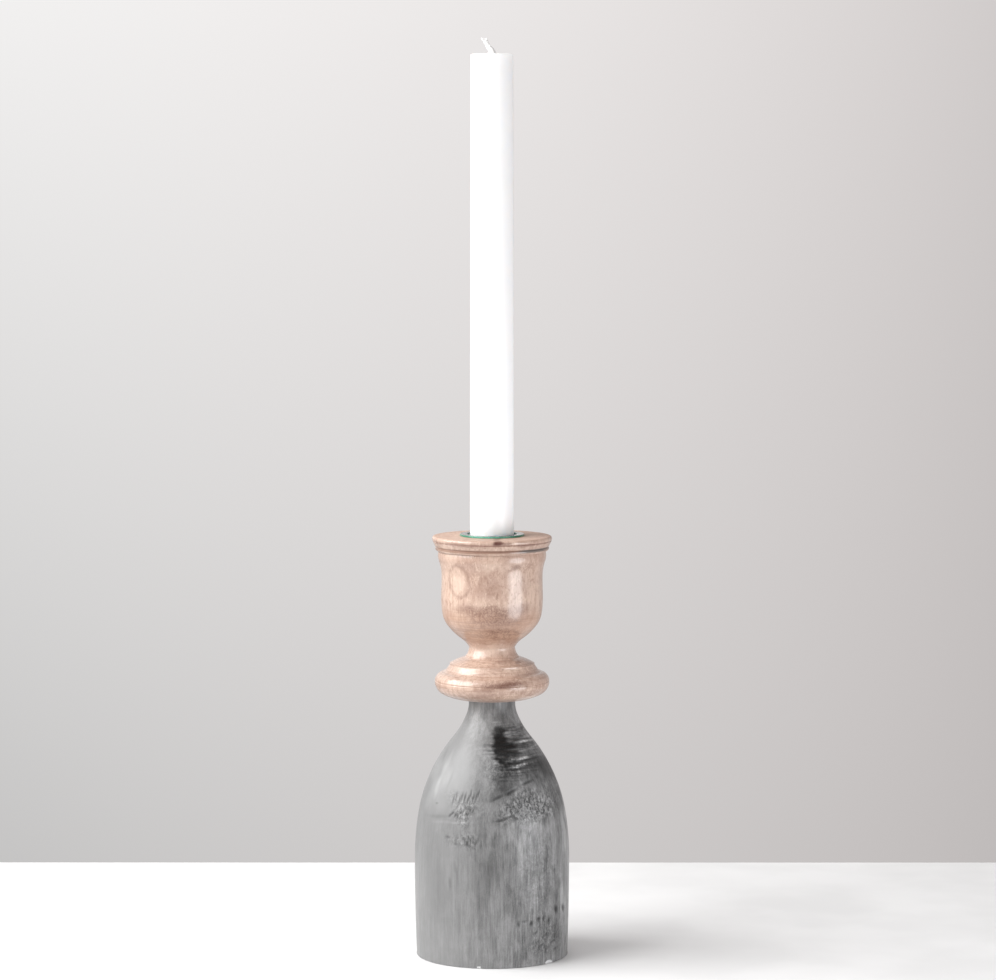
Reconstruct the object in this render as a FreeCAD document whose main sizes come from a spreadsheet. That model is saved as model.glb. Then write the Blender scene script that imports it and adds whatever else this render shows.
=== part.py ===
"""A turned wooden candlestick: a grey base and a pale cup on one threaded rod, a drop-in glass
socket in the cup, and the dinner candle that stands in it.

Millimetres, +Z up. The origin is the centre of the underside, on the surface it stands on.
Every height below is measured from that surface, and every radius from the turning axis.
"""
import FreeCAD, Part
import math
import os
import re

import Sketcher

# ---------------------------------------------------------------------------
# Driving dimensions: one cell of the sheet each, with the word as its alias
# ---------------------------------------------------------------------------

BASE = {
    "foot_radius": 39.6,         # the outside at the foot, where the small edge break ends
    "foot_break": 0.2,           # size of the edge break around the foot
    "wood_lift": 0.15,           # the felt keeps the wood this far off the table
    "belly_radius": 40.5,        # widest point of the bell
    "belly_level": 51.5,
    "shoulder_radius": 38.5,     # the bell's wall turns into its shoulder
    "shoulder_level": 75.4,
    "hollow_radius": 20.75,      # the shoulder turns into the hollow under the neck
    "hollow_level": 114.2,
    "throat_radius": 13.5,       # the hollow tightens into the neck
    "throat_level": 126.3,
    "neck_radius": 12.2,
    "neck_level": 132.5,
    "base_top": 135.0,
    "recess_radius": 35.0,       # shallow recess that the felt fills
    "counterbore_radius": 10.5,  # room for the nut, the washer and a socket spanner
    "counterbore_roof": 14.0,
    "rod_hole_radius": 3.4,
    "mortise_radius": 8.0,       # takes the spigot of the cup
    "mortise_floor": 124.5,
}

CUP = {
    "spigot_floor": 125.0,
    "under_radius": 25.9,        # the underside sweeps out to the torus
    "under_level": 137.4,
    "under_bend": 24.7,
    "torus_radius": 29.9,        # widest point of the foot ring
    "torus_level": 144.3,
    "line_width": 0.6,           # the fine line cut around the torus
    "line_depth": 0.25,
    "torus_end_radius": 25.4,    # where the torus rolls over to the ledge
    "torus_end_level": 148.9,
    "torus_bend": 5.0,
    "ledge_radius": 24.3,
    "ledge_level": 149.65,
    "slope_radius": 22.15,       # a short slope, then the wall of the upper step
    "slope_level": 152.6,
    "step_level": 153.4,
    "dome_radius": 15.8,         # the dome ends at a small quirk under the waist
    "dome_level": 156.25,
    "dome_bend": 30.0,
    "quirk_radius": 14.4,
    "quirk_level": 156.6,
    "waist_radius": 12.0,
    "waist_level": 162.0,
    "waist_bend": 8.0,
    "flare_radius": 16.1,        # under the bowl, the line turns outwards
    "flare_level": 166.4,
    "flare_bend": 14.0,
    "bowl_radius": 23.5,
    "bowl_level": 173.6,
    "bowl_side_radius": 25.9,
    "bowl_side_level": 179.4,
    "bowl_wall_radius": 26.5,
    "bowl_wall_level": 190.0,
    "bowl_waist_radius": 26.3,
    "bowl_waist_level": 198.5,
    "lip_radius": 27.75,         # the wall flares towards the rim
    "lip_level": 207.2,
    "lip_end_radius": 28.15,
    "lip_end_level": 210.9,
    "bead_floor": 212.2,         # lower bead of the rim
    "bead_radius": 29.65,
    "bead_level": 213.5,
    "bead_bend": 1.5,
    "groove_level": 214.4,       # the quirk between the two beads
    "groove_depth": 0.45,
    "groove_half_width": 0.4,
    "rim_radius": 31.2,          # upper bead, the widest part of the cup
    "rim_level": 218.7,
    "rim_line_level": 217.6,     # fine line under the upper bead
    "rim_line_half_width": 0.2,
    "rim_line_depth": 0.2,
    "rim_top_radius": 30.1,
    "cup_top": 220.0,
    "socket_floor": 196.9,       # the bore for the glass
    "rod_end_radius": 3.4,       # drilled further up, so that the rod never bottoms out
    "rod_end_roof": 146.0,
}

GLASS = {
    "glass_radius": 14.2,        # outside of the tube
    "glass_wall": 1.3,
    "glass_floor": 197.2,        # underside of the glass
    "glass_base": 1.5,           # thickness of its floor
    "glass_slack": 0.25,         # clearance in the wooden bore
    "flange_radius": 16.8,
    "flange_thickness": 1.1,
    "flange_round": 0.35,
}

CANDLE = {
    "candle_foot_radius": 11.5,
    "candle_top_radius": 11.05,
    "candle_length": 270.0,
    "candle_edge": 0.9,          # soft edge around the flat top
    "tip_radius": 2.7,           # the little cone of wax that climbs the wick
    "tip_rise": 1.3,
    "wick_radius": 1.0,
    "wick_slack": 0.05,
    "wick_bend": 3.0,            # the stub bends over, then runs straight
    "wick_lean": 28.0,           # degrees from upright
    "wick_stub": 6.1,            # length of the straight run
}

HARDWARE = {
    "glue_gap": 0.05,
    "rod_radius": 2.95,
    "rod_floor": 5.5,
    "rod_length": 135.0,
    "rod_chamfer": 0.7,
    "thread_hole_radius": 3.0,
    "insert_radius": 5.0,
    "insert_length": 15.0,
    "insert_ring": 2.2,          # length of each knurled ring
    "insert_neck": 0.45,         # depth of the plain necks between the rings
    "washer_radius": 9.0,
    "washer_hole_radius": 3.2,
    "washer_thickness": 1.6,
    "washer_break": 0.2,
    "nut_across_flats": 10.0,
    "nut_height": 5.0,
    "nut_chamfer_angle": 30.0,   # degrees, on the six corners
    "felt_radius": 34.8,
    "felt_thickness": 1.5,
    "felt_break": 0.3,
}

FULL_TURN = 360.0
EXACT = 1e-6
SWEEP_ERROR = 0.01               # a swept solid's volume against its section times its length

doc = FreeCAD.newDocument("candlestick")
sheet = doc.addObject("Spreadsheet::Sheet", "Sizes")


def fill_sheet(*groups):
    """One row for each dimension: its words in column A, its number in column B."""
    row = 1
    for group in groups:
        for word, value in group.items():
            sheet.set(f"A{row}", word.replace("_", " "))
            sheet.set(f"B{row}", str(value))
            sheet.setAlias(f"B{row}", word)
            row += 1
    doc.recompute()


def bound(words):
    """The same expression, with every dimension word looked up in the sheet."""
    own_words = ("cos", "sin", "tan", "deg")
    return re.sub(r"[a-z][a-z_]*", lambda m: m[0] if m[0] in own_words else "Sizes." + m[0], words)


def number(words):
    """The present value of an expression written in the sheet's words."""
    value = sheet.evalExpression(words)
    return float(getattr(value, "Value", value))


# ---------------------------------------------------------------------------
# Outlines: closed sketches drawn stroke by stroke, every end bound to the sheet
# ---------------------------------------------------------------------------

def origin_plane(body, role):
    return next(item for item in body.Origin.OriginFeatures if item.Role == role)


def new_sketch(body, name, role):
    sketch = body.newObject("Sketcher::SketchObject", name)
    sketch.AttachmentSupport = (origin_plane(body, role), [""])
    sketch.MapMode = "FlatFace"
    return sketch


class Outline:
    """Half a section, in the plane of X (radius) and Z (level).

    Each stroke runs from where the last one ended to (radius, level). The two are expressions in
    the sheet's words, and they bind the end of the stroke.
    """

    def __init__(self, body, name, radius, level):
        self.sketch = new_sketch(body, name, "XZ_Plane")
        self.first_words = (radius, level)
        self.here = FreeCAD.Vector(number(radius), number(level), 0)
        self.heading = None      # unit vector along the outline, at the last stroke's end
        self.end = None          # (geometry, point) of the last stroke's end
        self.first = None        # the same for the first stroke's start

    def constrain(self, *terms, words=None):
        index = self.sketch.addConstraint(Sketcher.Constraint(*terms))
        if words is not None:
            name = f"size{index}"
            self.sketch.renameConstraint(index, name)
            self.sketch.setExpression(f"Constraints.{name}", bound(words))

    def pin(self, geometry, point, radius, level):
        """Binds one point to its radius and its level."""
        if radius == "0":
            self.constrain("PointOnObject", geometry, point, -2)
        else:
            self.constrain("DistanceX", -1, 1, geometry, point, number(radius), words=radius)
        self.constrain("DistanceY", -1, 1, geometry, point, number(level), words=level)

    def join(self, geometry, start, finish, goal, radius, level, smooth=False):
        """Ties a new stroke to the last one, and binds its far end."""
        if self.first is None:
            self.first = (geometry, start)
            self.pin(geometry, start, *self.first_words)
        elif smooth:
            self.constrain("Tangent", *self.end, geometry, start)
        else:
            self.constrain("Coincident", *self.end, geometry, start)
        self.pin(geometry, finish, radius, level)
        self.end = (geometry, finish)
        self.here = goal

    def line(self, radius, level):
        goal = FreeCAD.Vector(number(radius), number(level), 0)
        geometry = self.sketch.addGeometry(Part.LineSegment(self.here, goal))
        self.heading = (goal - self.here).normalize()
        self.join(geometry, 1, 2, goal, radius, level)
        return self

    def add_arc(self, centre, goal, leftward):
        """Adds the arc about centre from here to goal; returns its number and its two ends."""
        spoke = self.here - centre
        reach = goal - centre
        begin = math.atan2(spoke.y, spoke.x)
        finish = math.atan2(reach.y, reach.x)
        circle = Part.Circle(centre, FreeCAD.Vector(0, 0, 1), spoke.Length)
        if leftward:
            self.heading = FreeCAD.Vector(-reach.y, reach.x, 0).normalize()
            return self.sketch.addGeometry(Part.ArcOfCircle(circle, begin, finish)), 1, 2
        self.heading = FreeCAD.Vector(reach.y, -reach.x, 0).normalize()
        return self.sketch.addGeometry(Part.ArcOfCircle(circle, finish, begin)), 2, 1

    def bend(self, radius, level, size, leftward):
        """An arc of a given size, which turns left or right on its way."""
        goal = FreeCAD.Vector(number(radius), number(level), 0)
        chord = goal - self.here
        rise = math.sqrt(number(size) ** 2 - chord.Length ** 2 / 4)
        left = FreeCAD.Vector(-chord.y, chord.x, 0).normalize()
        centre = (self.here + goal) / 2 + left * (rise if leftward else -rise)
        geometry, start, finish = self.add_arc(centre, goal, leftward)
        self.join(geometry, start, finish, goal, radius, level)
        self.constrain("Radius", geometry, number(size), words=size)
        return self

    def flow(self, radius, level):
        """An arc that carries on smoothly from the stroke before it."""
        goal = FreeCAD.Vector(number(radius), number(level), 0)
        chord = goal - self.here
        left = FreeCAD.Vector(-self.heading.y, self.heading.x, 0)
        size = chord.dot(chord) / (2 * chord.dot(left))
        geometry, start, finish = self.add_arc(self.here + left * size, goal, size > 0)
        self.join(geometry, start, finish, goal, radius, level, smooth=True)
        return self

    def crest(self, radius, level):
        """An arc that ends parallel to the axis, at the widest or the narrowest point."""
        goal = FreeCAD.Vector(number(radius), number(level), 0)
        chord = goal - self.here
        size = chord.dot(chord) / (2 * chord.x)
        centre = FreeCAD.Vector(goal.x - size, goal.y, 0)
        geometry, start, finish = self.add_arc(centre, goal, size * chord.y > 0)
        self.join(geometry, start, finish, goal, radius, level)
        self.constrain("Horizontal", geometry, 3, geometry, finish)
        return self

    def close(self):
        """A straight line back to where the outline began."""
        start = self.sketch.getPoint(*self.first)
        geometry = self.sketch.addGeometry(Part.LineSegment(self.here, start))
        self.constrain("Coincident", *self.end, geometry, 1)
        self.constrain("Coincident", geometry, 2, *self.first)
        return self.sketch


def disc_sketch(body, name, level, *radii):
    """Concentric circles, parallel to the ground at a level, each bound to the sheet."""
    sketch = new_sketch(body, name, "XY_Plane")
    sketch.AttachmentOffset = FreeCAD.Placement(FreeCAD.Vector(0, 0, number(level)),
                                                FreeCAD.Rotation())
    sketch.setExpression("AttachmentOffset.Base.z", bound(level))
    for radius in radii:
        circle = Part.Circle(FreeCAD.Vector(0, 0, 0), FreeCAD.Vector(0, 0, 1), number(radius))
        geometry = sketch.addGeometry(circle)
        sketch.addConstraint(Sketcher.Constraint("Coincident", geometry, 3, -1, 1))
        index = sketch.addConstraint(Sketcher.Constraint("Radius", geometry, number(radius)))
        sketch.renameConstraint(index, f"ring{geometry}")
        sketch.setExpression(f"Constraints.ring{geometry}", bound(radius))
    return sketch


def turned(body, kind, name, sketch):
    """A full turn of the section about the axis: a Revolution adds, a Groove cuts."""
    feature = body.newObject("PartDesign::" + kind, name)
    feature.Profile = sketch
    feature.ReferenceAxis = (sketch, ["V_Axis"])
    feature.Angle = FULL_TURN
    body.Tip = feature
    doc.recompute()
    return feature


def turn(body, name, sketch):
    return turned(body, "Revolution", name, sketch)


def cut(body, name, sketch):
    before = body.Shape.Volume
    feature = turned(body, "Groove", name, sketch)
    assert body.Shape.Volume < before - EXACT, name + " cuts nothing"
    return feature


def new_body(label):
    body = doc.addObject("PartDesign::Body", label)
    body.Label = label
    return body


# ---------------------------------------------------------------------------
# The turned wood
# ---------------------------------------------------------------------------

def make_turned_base():
    """The bell: a tall wall, a round shoulder, and a hollow that runs up into the neck."""
    body = new_body("turned_base")
    outside = Outline(body, "bell_section", "0", "wood_lift")
    outside.line("foot_radius - foot_break", "wood_lift")
    outside.line("foot_radius", "wood_lift + foot_break")
    outside.crest("belly_radius", "belly_level")
    outside.flow("shoulder_radius", "shoulder_level")
    outside.flow("hollow_radius", "hollow_level")
    outside.flow("throat_radius", "throat_level")
    outside.flow("neck_radius", "neck_level")
    outside.line("neck_radius", "base_top")
    outside.line("0", "base_top")
    turn(body, "bell", outside.close())

    below = Outline(body, "under_section", "0", "wood_lift")
    below.line("recess_radius", "wood_lift")
    below.line("recess_radius", "felt_thickness")
    below.line("counterbore_radius", "felt_thickness")
    below.line("counterbore_radius", "counterbore_roof")
    below.line("rod_hole_radius", "counterbore_roof")
    below.line("rod_hole_radius", "mortise_floor")
    below.line("mortise_radius", "mortise_floor")
    below.line("mortise_radius", "base_top")
    below.line("0", "base_top")
    cut(body, "bores", below.close())
    return body


def cup_foot(outside):
    """The torus with its fine line, the ledge, the upper step and the dome, up to the waist."""
    outside.bend("under_radius", "under_level", "under_bend", leftward=True)
    outside.flow("torus_radius", "torus_level - line_width / 2")
    outside.line("torus_radius - line_depth", "torus_level")
    outside.line("torus_radius", "torus_level + line_width / 2")
    outside.bend("torus_end_radius", "torus_end_level", "torus_bend", leftward=True)
    outside.line("ledge_radius", "ledge_level")
    outside.line("slope_radius", "slope_level")
    outside.line("slope_radius", "step_level")
    outside.bend("dome_radius", "dome_level", "dome_bend", leftward=True)
    outside.line("quirk_radius", "quirk_level")
    outside.bend("waist_radius", "waist_level", "waist_bend", leftward=False)


def cup_bowl(outside):
    """The bowl, from the waist to the lip."""
    outside.bend("flare_radius", "flare_level", "flare_bend", leftward=False)
    outside.flow("bowl_radius", "bowl_level")
    outside.flow("bowl_side_radius", "bowl_side_level")
    outside.flow("bowl_wall_radius", "bowl_wall_level")
    outside.flow("bowl_waist_radius", "bowl_waist_level")
    outside.flow("lip_radius", "lip_level")
    outside.flow("lip_end_radius", "lip_end_level")


def cup_rim(outside):
    """Two beads with a groove between them, and a fine line under the upper one."""
    outside.line("lip_end_radius - line_depth", "bead_floor")
    outside.bend("bead_radius", "bead_level", "bead_bend", leftward=True)
    outside.line("bead_radius", "groove_level - groove_half_width")
    outside.line("bead_radius - groove_depth", "groove_level")
    outside.line("bead_radius", "groove_level + groove_half_width")
    outside.line("rim_radius - rim_line_depth", "rim_line_level - rim_line_half_width")
    outside.line("rim_radius - 2 * rim_line_depth", "rim_line_level")
    outside.line("rim_radius - rim_line_depth", "rim_line_level + rim_line_half_width")
    outside.crest("rim_radius", "rim_level")
    outside.flow("rim_top_radius", "cup_top")


def make_candle_cup():
    """The urn on its foot, with a spigot below for the base and a bore above for the glass."""
    body = new_body("candle_cup")
    outside = Outline(body, "urn_section", "0", "spigot_floor")
    outside.line("mortise_radius - glue_gap", "spigot_floor")
    outside.line("mortise_radius - glue_gap", "base_top")
    outside.line("neck_radius", "base_top")
    cup_foot(outside)
    cup_bowl(outside)
    cup_rim(outside)
    outside.line("0", "cup_top")
    turn(body, "urn", outside.close())

    socket = Outline(body, "socket_section", "0", "socket_floor")
    socket.line("glass_radius + glass_slack", "socket_floor")
    socket.line("glass_radius + glass_slack", "cup_top")
    socket.line("0", "cup_top")
    cut(body, "socket", socket.close())

    pocket = Outline(body, "insert_section", "0", "spigot_floor")
    pocket.line("insert_radius + glue_gap", "spigot_floor")
    pocket.line("insert_radius + glue_gap", "spigot_floor + insert_length")
    pocket.line("rod_end_radius", "spigot_floor + insert_length")
    pocket.line("rod_end_radius", "rod_end_roof")
    pocket.line("0", "rod_end_roof")
    cut(body, "insert_pocket", pocket.close())
    return body


# ---------------------------------------------------------------------------
# The glass, the candle and its wick
# ---------------------------------------------------------------------------

def make_glass_liner():
    """A small glass tumbler that hangs in the cup by its flange."""
    body = new_body("glass_liner")
    section = Outline(body, "glass_section", "0", "glass_floor")
    section.line("glass_radius - flange_round", "glass_floor")
    section.bend("glass_radius", "glass_floor + flange_round", "flange_round", leftward=True)
    section.line("glass_radius", "cup_top")
    section.line("flange_radius - flange_round", "cup_top")
    section.bend("flange_radius", "cup_top + flange_round", "flange_round", leftward=True)
    section.line("flange_radius", "cup_top + flange_thickness - flange_round")
    section.bend("flange_radius - flange_round", "cup_top + flange_thickness",
                 "flange_round", leftward=True)
    section.line("glass_radius - glass_wall + flange_round", "cup_top + flange_thickness")
    section.bend("glass_radius - glass_wall", "cup_top + flange_thickness - flange_round",
                 "flange_round", leftward=True)
    section.line("glass_radius - glass_wall", "glass_floor + glass_base")
    section.line("0", "glass_floor + glass_base")
    turn(body, "glass", section.close())
    return body


def make_candle():
    """A slightly tapered dinner candle with a flat top, bored for its wick."""
    body = new_body("candle")
    foot = "glass_floor + glass_base"
    top = foot + " + candle_length"
    section = Outline(body, "wax_section", "wick_radius + wick_slack", foot)
    section.line("candle_foot_radius - candle_edge / 2", foot)
    section.line("candle_foot_radius", foot + " + candle_edge / 2")
    section.line("candle_top_radius", top + " - candle_edge")
    section.flow("candle_top_radius - candle_edge", top)
    section.line("tip_radius", top)
    section.bend("wick_radius + wick_slack", top + " + tip_rise", "tip_radius", leftward=False)
    turn(body, "wax", section.close())
    return body


def make_wick():
    """A cotton wick through the whole candle, whose stub bends over above the wax."""
    body = new_body("wick")
    foot = "glass_floor + glass_base"
    bend_start = foot + " + candle_length + tip_rise"
    sideways = "-wick_bend * (1 - cos(wick_lean * 1deg))"
    upwards = bend_start + " + wick_bend * sin(wick_lean * 1deg)"
    path = Outline(body, "wick_path", "0", foot)
    path.line("0", bend_start)
    path.flow(sideways, upwards)
    path.line(sideways + " - wick_stub * sin(wick_lean * 1deg)",
              upwards + " + wick_stub * cos(wick_lean * 1deg)")

    pipe = body.newObject("PartDesign::AdditivePipe", "wick_pipe")
    pipe.Profile = disc_sketch(body, "wick_section", foot, "wick_radius")
    doc.recompute()
    pipe.Spine = (path.sketch, ["Edge1", "Edge2", "Edge3"])
    body.Tip = pipe
    doc.recompute()
    bend_length = number("wick_bend") * math.radians(number("wick_lean"))
    length = number("candle_length + tip_rise + wick_stub") + bend_length
    volume = math.pi * number("wick_radius") ** 2 * length
    assert abs(body.Shape.Volume / volume - 1) < SWEEP_ERROR, "the wick's volume is wrong"
    return body


# ---------------------------------------------------------------------------
# The hardware inside, and the felt
# ---------------------------------------------------------------------------

def pad(body, name, sketch, length):
    feature = body.newObject("PartDesign::Pad", name)
    feature.Profile = sketch
    feature.setExpression("Length", bound(length))
    body.Tip = feature
    doc.recompute()
    return feature


def rim_edges(feature, radius, levels):
    """Names of the circular edges of one radius that lie at the given levels."""
    names = []
    for index, edge in enumerate(feature.Shape.Edges, start=1):
        curve = edge.Curve
        if isinstance(curve, Part.Circle) and abs(curve.Radius - radius) < EXACT:
            if any(abs(curve.Center.z - level) < EXACT for level in levels):
                names.append(f"Edge{index}")
    return names


def break_edges(body, name, feature, edges, size):
    """A small chamfer along the named edges."""
    chamfer = body.newObject("PartDesign::Chamfer", name)
    chamfer.Base = (feature, edges)
    chamfer.setExpression("Size", bound(size))
    body.Tip = chamfer
    doc.recompute()


def make_threaded_rod():
    """The M6 rod, modelled at its outer diameter."""
    body = new_body("threaded_rod")
    bar = pad(body, "bar", disc_sketch(body, "bar_section", "rod_floor", "rod_radius"), "rod_length")
    ends = rim_edges(bar, number("rod_radius"), [number("rod_floor"), number("rod_floor + rod_length")])
    break_edges(body, "points", bar, ends, "rod_chamfer")
    return body


def make_threaded_insert():
    """A brass insert with three rings that bite the wood, and plain necks between them."""
    body = new_body("threaded_insert")
    wide = "insert_radius"
    narrow = "insert_radius - insert_neck"
    pitch = "(insert_length - insert_ring) / 2"
    section = Outline(body, "insert_section", "thread_hole_radius", "spigot_floor")
    section.line(wide, "spigot_floor")
    for ring in range(3):
        level = f"spigot_floor + {ring} * {pitch}"
        if ring > 0:
            section.line(narrow, level)
            section.line(wide, level)
        section.line(wide, level + " + insert_ring")
        if ring < 2:
            section.line(narrow, level + " + insert_ring")
    section.line("thread_hole_radius", "spigot_floor + insert_length")
    turn(body, "insert", section.close())
    return body


def make_washer():
    """The wide washer against the roof of the counterbore."""
    body = new_body("washer")
    floor = "counterbore_roof - washer_thickness"
    ring = disc_sketch(body, "washer_section", floor, "washer_radius", "washer_hole_radius")
    plate = pad(body, "plate", ring, "washer_thickness")
    rims = rim_edges(plate, number("washer_radius"), [number(floor), number("counterbore_roof")])
    break_edges(body, "rims", plate, rims, "washer_break")
    return body


def make_hex_nut():
    """The M6 nut: a hexagonal prism, its corners turned off, threaded through."""
    body = new_body("hex_nut")
    floor = "counterbore_roof - washer_thickness - nut_height"
    corner = "nut_across_flats / 2 / cos(30deg)"
    sketch = disc_sketch(body, "nut_section", floor, "thread_hole_radius")
    reach = number(corner)
    corners = [FreeCAD.Vector(reach * math.cos(math.radians(turn_by)),
                              reach * math.sin(math.radians(turn_by)), 0)
               for turn_by in range(0, 360, 60)]
    sides = [sketch.addGeometry(Part.LineSegment(corners[k - 1], corners[k])) for k in range(6)]
    pitch_circle = sketch.addGeometry(
        Part.Circle(FreeCAD.Vector(0, 0, 0), FreeCAD.Vector(0, 0, 1), reach), True)
    sketch.addConstraint(Sketcher.Constraint("Coincident", pitch_circle, 3, -1, 1))
    for side, following in zip(sides, sides[1:] + sides[:1]):
        sketch.addConstraint(Sketcher.Constraint("Coincident", side, 2, following, 1))
        sketch.addConstraint(Sketcher.Constraint("PointOnObject", side, 2, pitch_circle))
    for side in sides[1:]:
        sketch.addConstraint(Sketcher.Constraint("Equal", sides[0], side))
    sketch.addConstraint(Sketcher.Constraint("PointOnObject", sides[0], 2, -1))
    index = sketch.addConstraint(Sketcher.Constraint("Radius", pitch_circle, reach))
    sketch.renameConstraint(index, "corner")
    sketch.setExpression("Constraints.corner", bound(corner))
    pad(body, "prism", sketch, "nut_height")

    drop = f"({corner} - nut_across_flats / 2) * tan(nut_chamfer_angle * 1deg)"
    ceiling = floor + " + nut_height"
    for name, face, inwards in (("lower_corners", floor, "+"), ("upper_corners", ceiling, "-")):
        wedge = Outline(body, name + "_section", "nut_across_flats / 2", face)
        wedge.line(corner, face)
        wedge.line(corner, f"{face} {inwards} {drop}")
        cut(body, name, wedge.close())
    return body


def make_felt_pad():
    """The felt disc that the candlestick stands on."""
    body = new_body("felt_pad")
    disc = pad(body, "disc", disc_sketch(body, "felt_section", "0", "felt_radius"), "felt_thickness")
    rims = rim_edges(disc, number("felt_radius"), [0.0])
    break_edges(body, "soft_edge", disc, rims, "felt_break")
    return body


# ---------------------------------------------------------------------------
# Build, check and write
# ---------------------------------------------------------------------------

def check(bodies):
    """Stops if any feature failed, or if a sub-part is not one valid solid."""
    for item in doc.Objects:
        assert not {"Invalid", "Error"} & set(item.State), f"{item.Label} is {item.State}"
    for body in bodies:
        shape = body.Shape
        assert not shape.isNull() and shape.isValid(), body.Label + " has no valid shape"
        assert len(shape.Solids) == 1, body.Label + " is not one solid"


def main():
    fill_sheet(BASE, CUP, GLASS, CANDLE, HARDWARE)
    makers = (make_turned_base, make_candle_cup, make_glass_liner, make_candle, make_wick,
              make_threaded_rod, make_threaded_insert, make_washer, make_hex_nut, make_felt_pad)
    bodies = [make() for make in makers]
    doc.recompute()
    check(bodies)
    os.makedirs("parts", exist_ok=True)
    for body in bodies:
        body.Shape.exportStep(f"parts/{body.Label}.step")
        box = body.Shape.optimalBoundingBox()
        print(f"{body.Label}: {body.Shape.Volume:.0f} mm3, from {box.ZMin:.2f} to {box.ZMax:.2f}")


main()
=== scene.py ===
import itertools
import math

import bpy
import numpy as np
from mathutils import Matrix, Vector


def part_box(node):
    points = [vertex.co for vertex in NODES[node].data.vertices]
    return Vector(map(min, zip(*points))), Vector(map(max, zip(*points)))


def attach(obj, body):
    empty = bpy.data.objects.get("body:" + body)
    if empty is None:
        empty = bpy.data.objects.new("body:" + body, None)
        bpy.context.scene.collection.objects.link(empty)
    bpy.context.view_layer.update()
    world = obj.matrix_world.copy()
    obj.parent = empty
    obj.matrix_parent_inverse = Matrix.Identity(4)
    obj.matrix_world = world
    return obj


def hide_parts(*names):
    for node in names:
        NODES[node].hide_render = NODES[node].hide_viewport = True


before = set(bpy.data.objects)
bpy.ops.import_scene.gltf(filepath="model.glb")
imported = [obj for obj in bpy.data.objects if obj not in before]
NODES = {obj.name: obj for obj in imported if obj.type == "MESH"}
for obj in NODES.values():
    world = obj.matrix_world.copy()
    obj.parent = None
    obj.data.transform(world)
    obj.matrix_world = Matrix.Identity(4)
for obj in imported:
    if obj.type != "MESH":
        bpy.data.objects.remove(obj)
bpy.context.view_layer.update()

MM = 0.001
TAU = 2 * math.pi
# The back's marks give way to the front's as y goes from the first of these to the second.
FRONT = (3, -3)


# ---- numbers, noise and soft masks on arrays ----

def smooth(value, low, high):
    """0 at low, 1 at high and a soft step between; low may be the larger of the two."""
    t = np.clip((value - low) / (high - low), 0, 1)
    return t * t * (3 - 2 * t)


def value_noise(x, y, z, seed):
    """Smooth 3-D noise from 0 to 1, with cells one unit wide. The same seed gives the same noise."""
    point = np.stack(np.broadcast_arrays(x, y, z), -1).astype(float)
    cell = np.floor(point).astype(np.int64)
    t = point - cell
    t = t * t * (3 - 2 * t)
    total = np.zeros(point.shape[:-1])
    for corner in itertools.product((0, 1), repeat=3):
        c = cell + np.array(corner)
        # Large odd factors and shifts turn the corner's cell into a number from 0 to 0xFFFF.
        mixed = c[..., 0] * 73856093 ^ c[..., 1] * 19349663 ^ c[..., 2] * 83492791
        mixed = (mixed ^ seed * 40503) * 1274126177 & 0xFFFFFFFF
        mixed = (mixed ^ mixed >> 15) * 2246822519 & 0xFFFFFFFF
        weight = np.prod(np.where(corner, t, 1 - t), axis=-1)
        total += weight * ((mixed ^ mixed >> 13) & 0xFFFF) / 0xFFFF
    return total


def ellipse(x, z, mark, core=0.2):
    """1 in the core of a mark and 0 outside it. A mark starts with its middle (x, z), its half
    width, its half height and its tilt in degrees; where it bears more, that is its strength."""
    middle_x, middle_z, half_width, half_height, tilt = mark[:5]
    angle = math.radians(tilt)
    dx = x - middle_x
    dz = z - middle_z
    across = (dx * math.cos(angle) + dz * math.sin(angle)) / half_width
    along = (dz * math.cos(angle) - dx * math.sin(angle)) / half_height
    return smooth(np.hypot(across, along), 1, core)


def scaled(x, z, marks, side):
    """The product of every mark's change of tone, on one side of the object."""
    result = 1.0
    for mark in marks:
        result = result * (1 + mark[5] * ellipse(x, z, mark) * side)
    return result


def covered(x, z, marks, side):
    """How far the marks cover a place, from 0 to 1, on one side of the object."""
    bare = 1.0
    for mark in marks:
        bare = bare * (1 - mark[5] * ellipse(x, z, mark) * side)
    return 1 - bare


def wandering(x, y, z, amount, size, seed):
    """x and z pushed about by up to half the amount, so that an edge isn't a clean curve."""
    push_x = amount * (value_noise(x / size, y / size, z / size, seed) - 0.5)
    push_z = amount * (value_noise(x / size, y / size, z / size, seed + 1) - 0.5)
    return x + push_x, z + push_z


# ---- meshes ----

def make_piece(name, vertices, faces, material, body, slot, node, masks=None):
    """Makes a smooth piece that rides on a body and stands for a CAD node.
    The masks are values at each vertex, which its material reads by their names."""
    sharp_from = math.radians(38)
    mesh = bpy.data.meshes.new(name)
    mesh.from_pydata(vertices, [], faces)
    for mask, values in (masks or {}).items():
        attribute = mesh.attributes.new(mask, "FLOAT", "POINT")
        attribute.data.foreach_set("value", values)
    mesh.polygons.foreach_set("use_smooth", [True] * len(mesh.polygons))
    mesh.set_sharp_from_angle(angle=sharp_from)
    mesh.materials.append(material)
    piece = bpy.data.objects.new(name, mesh)
    bpy.context.scene.collection.objects.link(piece)
    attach(piece, body)
    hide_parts(node)


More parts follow.
